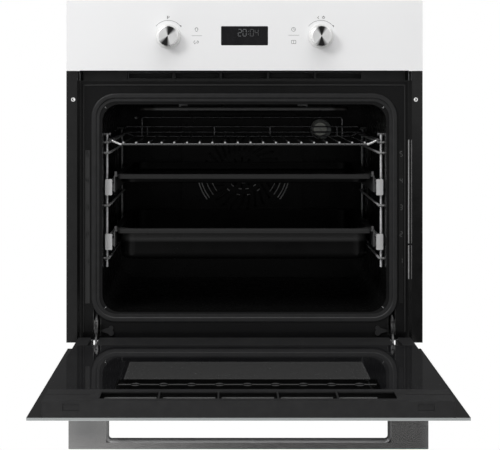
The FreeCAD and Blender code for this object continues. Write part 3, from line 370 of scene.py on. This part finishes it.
def white_glass():
    """White print behind clear glass. The door's pane has a black inner side and a dark window outside."""
    f = Finish("white_glass", (0.8, 0.81, 0.81), 0.3, Coat_Weight=1.0, Coat_Roughness=0.02, IOR=1.5)
    f.vary_colour(f.noise(size=6, detail=1), (0.82, 0.82, 0.825), (0.845, 0.845, 0.85))
    outer_face, inner_face = -0.0175, -0.01385
    f.paint(f.inside("Z", inner_face, 0.01), (0.008, 0.008, 0.0085))
    window = f.both(f.inside("X", -0.21, 0.21), f.inside("Y", -0.4, -0.09))
    f.paint(f.both(window, f.inside("Z", -0.03, outer_face)), (0.01, 0.01, 0.0105))
    edge = f.both(f.inside("Z", outer_face, inner_face), f.inside("Y", -0.6, 0.01))
    f.paint(edge, (0.36, 0.38, 0.38))
    return f.mat


def display_glass():
    """The clock's dark window."""
    f = Finish("display_glass", (0.01, 0.01, 0.011), 0.08, Coat_Weight=1.0, Coat_Roughness=0.02)
    f.vary_colour(f.noise(size=30), (0.008, 0.008, 0.009), (0.014, 0.014, 0.015))
    return f.mat


def black_glass():
    """The door's inner glass, with a paler rectangle and rim painted as a reflection, and a darker band in
    front of it.
    """
    f = Finish("black_glass", (0.01, 0.01, 0.011), 0.06, Coat_Weight=1.0, Coat_Roughness=0.015, IOR=1.5)
    f.vary_roughness(f.noise(size=25), 0.04, 0.1)
    f.vary_colour(f.noise(size=12), (0.008, 0.008, 0.009), (0.014, 0.014, 0.015))
    # A painted reflection: a paler rectangle (window) inside a lighter rim.
    painted_reflection_rim = (0.177, -0.342, -0.221, 0.085)
    window = (0.1755, -0.3385, -0.2245, 0.065)
    dark_band = (0.186, -0.404, -0.342, 0.003)
    for side, front, back, level in (painted_reflection_rim, window, dark_band):
        f.paint(f.both(f.inside("X", -side, side), f.inside("Y", front, back)), grey(level))
    return f.mat


def clear_glass():
    """Clear glass of the lamp's cover and the door's middle pane."""
    f = Finish("clear_glass", (0.86, 0.9, 0.89), 0.04, IOR=1.12, Transmission_Weight=0.97)
    f.vary_roughness(f.noise(size=30), 0.02, 0.07)
    return f.mat


def bulb_glass():
    """Frosted glass with a weak glow of its own."""
    f = Finish("bulb_glass", (0.93, 0.91, 0.86), 0.3, Transmission_Weight=0.3, Emission_Strength=0.04)
    f.set("Emission Color", (1, 0.97, 0.92, 1))
    f.vary_roughness(f.noise(size=200), 0.2, 0.4)
    return f.mat


def brushed_steel():
    """The handle, brushed lengthways, with painted shade on its chamfer and left leg and a painted highlight
    at its right end.
    """
    f = Finish("brushed_steel", (0.56, 0.55, 0.54), 0.2, 1.0, Anisotropic=0.3)
    grain = f.noise((0.02, 1, 1), 2600, 3)
    f.vary_colour(grain, (0.66, 0.655, 0.65), (0.84, 0.83, 0.82))
    f.vary_roughness(grain, 0.15, 0.24)
    # Painted shade on the chamfer and on the left leg.
    chamfer = f.both(f.inside("X", -0.1912, 0.1912), f.inside("Z", -0.0487, -0.01))
    f.paint(chamfer, grey(0.1))
    left_leg = f.both(f.inside("X", -0.245, -0.1915, 0.02), f.inside("Z", -0.047, -0.005, 0.012))
    f.paint(f.both(left_leg, f.inside("Y", -0.47, -0.4)), grey(0.55))
    # Painted highlight at the right end.
    right_end = f.inside("X", 0.236, 0.26, 0.006)
    f.paint(right_end, grey(1.0))
    return f.bump(grain, 0.2, 0.0001).mat


def rack_chrome():
    """Pale plating of the side racks and the fixed rails, with painted shade along their front."""
    f = Finish("rack_chrome", grey(0.7), 0.32, 0.15)
    f.vary_roughness(f.noise(size=120), 0.26, 0.4)
    f.vary_colour(f.noise(size=200), (0.62, 0.62, 0.63), (0.85, 0.85, 0.86))
    # Painted shade along the front.
    f.paint(f.inside("Y", 0.0, 0.037, 0.003), grey(0.26))
    return f.mat


def shelf_chrome():
    """The shelf's wire, with painted highlights on its ends at the front and painted shade on its front wire.
    """
    f = Finish("shelf_chrome", (0.5, 0.5, 0.51), 0.22, 0.8)
    f.vary_roughness(f.noise(size=120), 0.16, 0.28)
    f.vary_colour(f.noise(size=200), (0.22, 0.22, 0.23), (0.36, 0.36, 0.37))
    # Painted highlights on the wire ends at the front.
    f.paint(f.inside("Y", 0.02, 0.04), grey(0.75))
    # Painted shade on the front wire.
    front_wire = f.both(f.inside("Y", 0.02, 0.0305), f.inside("X", -0.209, 0.209))
    f.paint(front_wire, grey(0.15))
    return f.mat


def hinge_zinc():
    """Worn zinc with dark grease in patches."""
    f = Finish("hinge_zinc", grey(0.12), 0.32, 0.9)
    f.vary_colour(f.noise(size=160), grey(0.015), grey(0.2))
    f.vary_roughness(f.noise(size=200), 0.25, 0.45)
    return f.bump(f.noise(size=300), 0.2, 0.0004).mat


def runner_steel():
    """Zinc-plated runners with pale satin caps."""
    f = Finish("runner_steel", grey(0.1), 0.35, 0.6)
    f.vary_colour(f.noise(size=300), grey(0.07), grey(0.12))
    beyond_trays = f.spread(f.distance("X", 0.0), 0, 1, 0.2243, 0.2245)
    f.paint(f.both(beyond_trays, f.inside("Y", 0.01, 0.0284)), grey(0.72))
    f.vary_roughness(f.noise(size=120), 0.4, 0.5)
    return f.mat


def zinc_steel():
    """Zinc-plated small parts and machinery, with painted shade in a zone near the cavity's back."""
    f = Finish("zinc_steel", (0.32, 0.32, 0.33), 0.34, 1.0)
    f.vary_colour(f.noise(size=300), (0.27, 0.27, 0.28), grey(0.37))
    # Painted shade in a zone near the cavity's back.
    f.paint(f.inside("Y", 0.39, 0.43), grey(0.02))
    f.vary_roughness(f.noise(size=200), 0.25, 0.45)
    return f.bump(f.noise(size=1200), 0.1, 0.0001).mat


def heater_rod():
    """Sheathed heating rod; the grill element's front bar is paler."""
    f = Finish("heater_rod", grey(0.03), 0.4, 0.6)
    f.vary_colour(f.noise(size=70), (0.02, 0.019, 0.018), (0.05, 0.048, 0.046))
    front_bar = f.both(f.inside("Y", 0.05, 0.066), f.inside("X", -0.155, 0.155, 0.004))
    f.paint(front_bar, grey(0.1))
    f.vary_roughness(f.noise(size=200), 0.3, 0.55)
    return f.mat


def black_plastic():
    """Fine-grained moulded plastic."""
    f = Finish("black_plastic", (0.015, 0.015, 0.0155), 0.38, Specular_IOR_Level=0.4)
    f.vary_roughness(f.noise(size=500), 0.32, 0.46)
    f.vary_colour(f.noise(size=80), (0.013, 0.013, 0.0135), (0.019, 0.019, 0.0195))
    return f.bump(f.noise(size=2600, detail=2), 0.2, 0.0002).mat


def outlet_plastic():
    """The air outlet's darker plastic."""
    f = Finish("outlet_plastic", grey(0.006), 0.4, Specular_IOR_Level=0.3)
    f.vary_roughness(f.noise(size=500), 0.34, 0.46)
    f.vary_colour(f.noise(size=80), grey(0.009), grey(0.014))
    return f.bump(f.noise(size=2600, detail=2), 0.2, 0.0002).mat


def white_plastic():
    """White moulded plastic, with a dark ring round each fixing bush."""
    f = Finish("white_plastic", (0.8, 0.8, 0.79), 0.35)
    f.vary_colour(f.noise(size=60), (0.77, 0.77, 0.76), (0.83, 0.83, 0.82))
    bush_x, bush_z = 0.286, 0.406
    across = combine(f.tree, "SUBTRACT", combine(f.tree, "ABSOLUTE", f.axis("X"), 0.0), bush_x)
    up = combine(f.tree, "SUBTRACT", f.axis("Z"), bush_z)
    squared = combine(f.tree, "ADD", f.both(across, across), f.both(up, up))
    beyond = f.spread(squared, 0, 1, 0.0032 ** 2, 0.0035 ** 2)
    within = f.spread(squared, 1, 0, 0.008 ** 2, 0.009 ** 2)
    f.paint(f.both(beyond, within), grey(0.03))
    return f.bump(f.noise(size=1500), 0.05, 0.0001).mat


def silicone():
    """Black rubber of the seal, the spacers and the buffers."""
    f = Finish("silicone", grey(0.013), 0.45, Specular_IOR_Level=0.35)
    f.vary_colour(f.noise(size=90), (0.010, 0.010, 0.0105), (0.016, 0.016, 0.0165))
    return f.bump(f.noise(size=900), 0.12, 0.0002).mat


def mineral_wool():
    """Fibrous insulation, its layers lying flat."""
    f = Finish("mineral_wool", (0.66, 0.62, 0.5), 0.95)
    f.vary_colour(f.noise((1, 1, 3), 220, 6), (0.5, 0.46, 0.35), (0.76, 0.72, 0.6))
    return f.bump(f.noise((1, 1, 3), 300, 6), 0.8, 0.003).mat


def board_green():
    """Solder resist on the circuit boards."""
    f = Finish("board_green", (0.03, 0.16, 0.07), 0.3)
    f.vary_colour(f.cells(150), (0.02, 0.11, 0.05), (0.05, 0.22, 0.1), 0.2, 0.8)
    return f.mat


def knob_silver():
    """Spun metal caps with sectors of painted highlight and painted shade; the left knob's are turned a
    little.
    """
    f = Finish("knob_silver", grey(0.7), 0.3, 0.55, Anisotropic=0.85)
    tangent = f.tree.nodes.new("ShaderNodeTangent")
    tangent.direction_type = "RADIAL"
    tangent.axis = "Y"
    link(f.tree, tangent.outputs[0], f.shader.inputs["Tangent"])
    across = combine(f.tree, "SUBTRACT", combine(f.tree, "ABSOLUTE", f.axis("X"), 0.0), KNOB_X * MM)
    along = combine(f.tree, "SUBTRACT", f.axis("Z"), KNOB_Z * MM)
    turn = combine(f.tree, "ARCTAN2", across, along)
    left_turn = 0.38
    turn = combine(f.tree, "ADD", turn, f.spread(f.axis("X"), left_turn, 0.0, -0.01, 0.01))
    # Sectors of painted highlight and painted shade round each cap.
    fold = combine(f.tree, "COSINE", combine(f.tree, "MULTIPLY", turn, 2.0), 0.0)
    f.vary_colour(fold, grey(0.93), grey(0.015), 0.1, 0.85)
    f.vary_roughness(f.noise(size=900), 0.2, 0.3)
    return f.mat


MATERIALS = {make.__name__: make() for make in (
    black_enamel, cavity_enamel, tray_enamel, rail_paint, rack_chrome, shelf_chrome, hinge_zinc,
    outlet_plastic, black_paint, galvanised, white_glass, display_glass, black_glass, clear_glass,
    bulb_glass, brushed_steel, runner_steel, zinc_steel, heater_rod, black_plastic, white_plastic,
    silicone, mineral_wool, board_green, knob_silver)}

OWN_FINISH = {
    "cavity_enamel": ("cavity_wrap", "cavity_back_wall", "fan_cover"),
    "tray_enamel": ("deep_tray", "shallow_tray"),
    "rail_paint": ("side_rails",),
    "outlet_plastic": ("air_outlet",),
    "shelf_chrome": ("wire_shelf",),
    "rack_chrome": ("side_racks", "fixed_rails"),
    "hinge_zinc": ("hinge_arms", "hinge_latch_left", "hinge_latch_right", "hinge_cases"),
}
FINISH_OF = {node: finish for finish, nodes in OWN_FINISH.items() for node in nodes}

for name, obj in NODES.items():
    obj.data.materials.clear()
    finish = "runner_steel" if "_slide_" in name else FINISH_OF.get(name, SLOT_OF[name])
    obj.data.materials.append(MATERIALS[finish])


def soften(name, width):
    """Rounds a node's sharp edges a little, so that they catch the light."""
    bevel = NODES[name].modifiers.new("soft_edges", "BEVEL")
    bevel.width = width * MM
    bevel.segments = 2
    bevel.limit_method = "ANGLE"
    bevel.angle_limit = math.radians(50)


EDGE_WIDTHS = {"front_frame": 0.5, "side_rails": 0.5, "control_panel_glass": 0.5, "door_outer_glass": 0.5,
               "door_inner_glass": 0.4, "door_top_trim": 0.5, "door_trim_caps": 0.5, "door_handle": 0.6,
               "air_outlet": 0.4}
for name, width in EDGE_WIDTHS.items():
    soften(name, width)

# ---------------------------------------------------------------- printed marks on the control panel

PRINT_Y = -28.05
PRINT_DEEP = 0.06


def prism(build, outline, near, deep, plane="XZ"):
    """A thin flat prism on an outline in millimetres, from near to near + deep along the third axis."""
    def corner(a, b, level):
        place = (a, level, b) if plane == "XZ" else (a, b, level)
        return build.verts.new([v * MM for v in place])
    first = [corner(a, b, near) for a, b in outline]
    last = [corner(a, b, near + deep) for a, b in outline]
    build.faces.new(first)
    build.faces.new(last[::-1])
    for i in range(len(first)):
        j = (i + 1) % len(first)
        build.faces.new((first[j], first[i], last[i], last[j]))


def bar(x0, z0, x1, z1, wide):
    """The outline of a straight stroke."""
    along = Vector((x1 - x0, z1 - z0)).normalized() * (wide / 2)
    side = Vector((-along.y, along.x))
    return [(x0 + side.x, z0 + side.y), (x0 - side.x, z0 - side.y), (x1 - side.x, z1 - side.y),
            (x1 + side.x, z1 + side.y)]


def arc(cx, cz, radius, wide, start, end, steps=28):
    """The outline of a curved stroke; angles in degrees from straight up, clockwise."""
    def ring(r, angles):
        return [(cx + r * math.sin(math.radians(a)), cz + r * math.cos(math.radians(a))) for a in angles]
    angles = [start + (end - start) * i / steps for i in range(steps + 1)]
    return ring(radius + wide / 2, angles) + ring(radius - wide / 2, angles[::-1])


def print_piece(name, outlines, material):
    """Print that stands just in front of the control panel's glass."""
    build = bmesh.new()
    for outline in outlines:
        prism(build, outline, PRINT_Y, PRINT_DEEP)
    bmesh.ops.recalc_face_normals(build, faces=build.faces)
    obj = mesh_object(name, build)
    obj.data.materials.append(material)
    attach(obj, "cabinet")
    return obj


def ink():
    """Grey print, a little uneven."""
    f = Finish("panel_ink", grey(0.2), 0.5)
    f.vary_colour(f.noise(size=4000, detail=2), grey(0.07), grey(0.11))
    return f.mat


def glow():
    """The clock's lit segments; the right pair is dimmer."""
    f = Finish("display_glow", grey(0.3), 0.5)
    level = f.spread(f.axis("X"), 0.13, 0.03, 0.004, 0.0065)
    f.shader.inputs["Emission Color"].default_value = (0.9, 0.95, 1.0, 1)
    link(f.tree, level, f.shader.inputs["Emission Strength"])
    f.vary_colour(f.noise(size=3000), grey(0.06), grey(0.1))
    return f.mat


MARK_RADIUS, MARK_HALF_ANGLE = 26.4, 51


def knob_marks():
    """Over each knob an arc that ends in an arrowhead, and a small generic sign."""
    outlines = []
    for side in (-1, 1):
        x = side * KNOB_X
        outlines.append(arc(x, KNOB_Z, MARK_RADIUS, 0.55, -MARK_HALF_ANGLE, MARK_HALF_ANGLE))
        end = math.radians(MARK_HALF_ANGLE)
        tip_x = x + MARK_RADIUS * math.sin(end)
        tip_z = KNOB_Z + MARK_RADIUS * math.cos(end)
        outlines.append([(tip_x - 1.4, tip_z + 1.9), (tip_x + 1.5, tip_z + 1.0), (tip_x + 0.9, tip_z - 2.0)])
    outlines.append(arc(-KNOB_X, 543.6, 1.5, 0.8, 20, 340))
    outlines.append(bar(-KNOB_X - 1.4, 540.2, -KNOB_X - 1.4, 545.4, 0.9))
    outlines += [bar(121.2, 542.6, 124.0, 544.8, 0.7), bar(121.2, 542.6, 124.0, 540.4, 0.7)]
    outlines += [arc(131.4, 542.8, 1.9, 0.7, 0, 359), bar(131.4, 542.8, 131.4, 545.6, 0.6)]
    return outlines


def touch_icons():
    """Small generic signs beside the display: lamp, line, steam; clock, line, timer."""
    outlines = [arc(-80, 523.2, 2.4, 0.8, -150, 150), bar(-81.4, 519.6, -78.6, 519.6, 0.7)]
    outlines += [bar(-88, 512.4, -71, 512.4, 0.5), arc(-82, 501.6, 2.4, 0.7, 180, 360)]
    outlines += [arc(-78.6, 502.0, 2.0, 0.7, 0, 200), bar(-83.6, 498.6, -77, 503.6, 0.6)]
    outlines += [arc(81.5, 522.9, 3.2, 0.7, 0, 359), bar(81.5, 522.9, 81.5, 525.0, 0.5)]
    outlines += [bar(81.5, 522.9, 83.2, 522.9, 0.5), bar(73, 513.2, 91, 513.2, 0.5)]
    outlines += [bar(78.0, z, 85.6, z, 0.6) for z in (499.4, 504.6)]
    outlines += [bar(x, 499.4, x, 504.6, 0.6) for x in (78.2, 81.8, 85.4)]
    return outlines


SEGMENTS = {"0": "abcdef", "1": "bc", "2": "abged", "3": "abgcd", "4": "fgbc", "5": "afgcd"}


def digit(char, x, z, wide, high, stroke):
    """Seven-segment strokes of one digit whose lower left corner is (x, z)."""
    mid, top, right = z + high / 2, z + high, x + wide
    strokes = {"a": (x, top, right, top), "b": (right, mid, right, top), "c": (right, z, right, mid),
               "d": (x, z, right, z), "e": (x, z, x, mid), "f": (x, mid, x, top), "g": (x, mid, right, mid)}
    outlines = []
    gap = 0.5
    for letter in SEGMENTS[char]:
        x0, z0, x1, z1 = strokes[letter]
        cut_x, cut_z = (gap, 0) if z0 == z1 else (0, gap)
        outlines.append(bar(x0 + cut_x, z0 + cut_z, x1 - cut_x, z1 - cut_z, stroke))
    return outlines


CLOCK_LOW, CLOCK_WIDE, CLOCK_HIGH, CLOCK_STROKE = 511.8, 5.4, 11.2, 0.55


def clock():
    """Four digits with a colon between the pairs."""
    outlines = []
    for char, x in (("2", -10.6), ("0", -2.6), ("0", 9.4), ("4", 17.4)):
        outlines += digit(char, x, CLOCK_LOW, CLOCK_WIDE, CLOCK_HIGH, CLOCK_STROKE)
    return outlines + [bar(5.9, z, 6.9, z, 1.0) for z in (515.2, 519.8)]


INK = ink()
print_piece("knob_marks", knob_marks(), INK)
print_piece("touch_icons", touch_icons(), INK)
print_piece("clock_digits", clock(), glow())

# ---------------------------------------------------------------- small details elsewhere


def plain(name, colour, roughness=0.4, metallic=0.0):
    """A quiet finish for a small detail: the colour and the gloss vary a little."""
    f = Finish(name, colour, roughness, metallic)
    f.vary_colour(f.noise(size=400), [c * 0.85 for c in colour], [c * 1.15 for c in colour])
    f.vary_roughness(f.noise(size=150), roughness * 0.85, roughness * 1.15)
    return f.mat


def shape_piece(name, shapes, material, body, bevel=0.0):
    """One piece from several prisms, each given as outline, plane, near side and depth."""
    build = bmesh.new()
    for outline, plane, near, deep in shapes:
        prism(build, outline, near, deep, plane)
    bmesh.ops.recalc_face_normals(build, faces=build.faces)
    obj = mesh_object(name, build)
    if bevel:
        edge = obj.modifiers.new("round", "BEVEL")
        edge.width = bevel * MM
        edge.segments = 2
    obj.data.materials.append(material)
    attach(obj, body)
    return obj


LEVEL_LOW, LEVEL_PITCH, LEVELS = 134, 45, 5
LEVEL_X, LEVEL_WIDE, LEVEL_HIGH, LEVEL_STROKE = 264.6, 3.8, 8, 1.5


def level_marks(side):
    """The rack levels' numbers, one to five, on the frame's upright strip."""
    shapes = []
    left = side * LEVEL_X - LEVEL_WIDE / 2
    for i in range(LEVELS):
        low = LEVEL_LOW + LEVEL_PITCH * i - LEVEL_HIGH / 2
        for stroke in digit(str(i + 1), left, low, LEVEL_WIDE, LEVEL_HIGH, LEVEL_STROKE):
            shapes.append((stroke, "XZ", 1.85, 0.35))
    return shapes


def edge_strips(x=277.2, wide=1.9):
    """A pale strip beside the right rail, in two lengths, as a painted reflection."""
    return [(bar(x, top, x, low, wide), "XZ", 1.6, 0.8) for top, low in ((338, 163), (160, 103))]


def deck_tips(count=20, shelf_front=26.4, pitch=21.66, deck_z=331.9):
    """Rounded, ground ends on the shelf's deck wires."""
    build = bmesh.new()
    for i in range(count):
        x = (i - (count - 1) / 2) * pitch
        tip = bmesh.ops.create_uvsphere(build, u_segments=12, v_segments=8, radius=1.75 * MM)
        for vert in tip["verts"]:
            flat = Vector((vert.co.x, vert.co.y * 0.7, vert.co.z))
            vert.co = flat + Vector((x, shelf_front, deck_z)) * MM
    obj = mesh_object("deck_tips", build)
    obj.data.materials.append(plain("ground_wire", grey(0.5), 0.4, 0.3))
    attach(obj, "wire_shelf_body")


def slot_strip(z=0.4, wide=2.0):
    """Pale strips as painted light at the back of the air slots in the door's top trim: four of one length
    and a shorter one.
    """
    spans = [(x - 36, x + 36) for x in range(-162, 82, 81)] + [(126, 178)]
    return [(bar(x0, z, x1, z, wide), "XZ", -421.9, 0.6) for x0, x1 in spans]


def sill_strip(z=-6.2, wide=12):
    """A dark strip under the frame, behind the door's heel, open at the hinges."""
    spans = ((-275, -257.5), (-239.5, 239.5), (257.5, 275))
    return [(bar(x0, z, x1, z, wide), "XZ", 4.5, 1.2) for x0, x1 in spans]


def outlet_gauze(z=445.8, wide=9):
    """A dark backing behind the air outlet's five windows."""
    middles = [79.5 * i for i in range(-2, 3)]
    return [(bar(x - 37, z, x + 37, z, wide), "XZ", 14.6, 0.8) for x in middles]


FAN_X, FAN_Z, LOUVRE_Y = 3, 260, 395.9


def fan_louvres():
    """Pale strokes as painted highlights on the edges of the fan cover's curved louvres and of its small
    middle ones.
    """
    strokes = []
    for side in (1, -1):
        for i, radius in enumerate((91, 85.5, 76, 66)):
            strokes.append(arc(FAN_X, FAN_Z, radius, 2.0 - 0.3 * i, side * 103, side * 128, 10))
        for angle in (112, 138, 164):
            for radius in (24, 36, 48):
                end = side * (angle + 360 / radius)
                strokes.append(arc(FAN_X, FAN_Z, radius, 1.6, side * angle, end, 4))
    return [(stroke, "XZ", LOUVRE_Y, 1.4) for stroke in strokes]


def ellipse(x, y, wide, high, steps=16):
    """The outline of an ellipse round (x, y)."""
    turns = [2 * math.pi * i / steps for i in range(steps)]
    return [(x + wide / 2 * math.cos(t), y + high / 2 * math.sin(t)) for t in turns]


def glass_marks(y=-376, half=182, pitch=39.5):
    """A printed line with nine dots on the door's inner glass."""
    outlines = [bar(-half, y, half, y, 6)] + [ellipse(pitch * i, y, 13, 20) for i in range(-4, 5)]
    return [(outline, "XY", 9.0, 0.06) for outline in outlines]


shape_piece("level_marks_left", level_marks(-1), plain("dark_ink", grey(0.002)), "cabinet")
# The right copy of the numbers is painted paler than the left one, as a painted highlight.
shape_piece("level_marks_right", level_marks(1), plain("ink_painted_highlight", grey(0.05)), "cabinet")
# A painted reflection beside the right rail.
shape_piece("edge_strips", edge_strips(), plain("strip_painted_reflection", grey(0.5), 0.3, 0.4), "cabinet", 0.2)
deck_tips()
shape_piece("glass_marks", glass_marks(), plain("glass_print", grey(0.045)), "door")
# Painted light at the back of the trim's air slots.
shape_piece("slot_strip", slot_strip(), plain("slot_painted_light", grey(0.13)), "door", 0.15)
shape_piece("sill_strip", sill_strip(), plain("sill_black", grey(0.008)), "cabinet", 0.2)
shape_piece("outlet_gauze", outlet_gauze(), plain("gauze_black", grey(0.004), 0.6), "cabinet", 0.1)
# Painted highlights on the fan cover's louvre edges.
shape_piece("fan_louvres", fan_louvres(), plain("louvre_painted_highlight", grey(0.45), 0.3, 0.5), "cabinet")
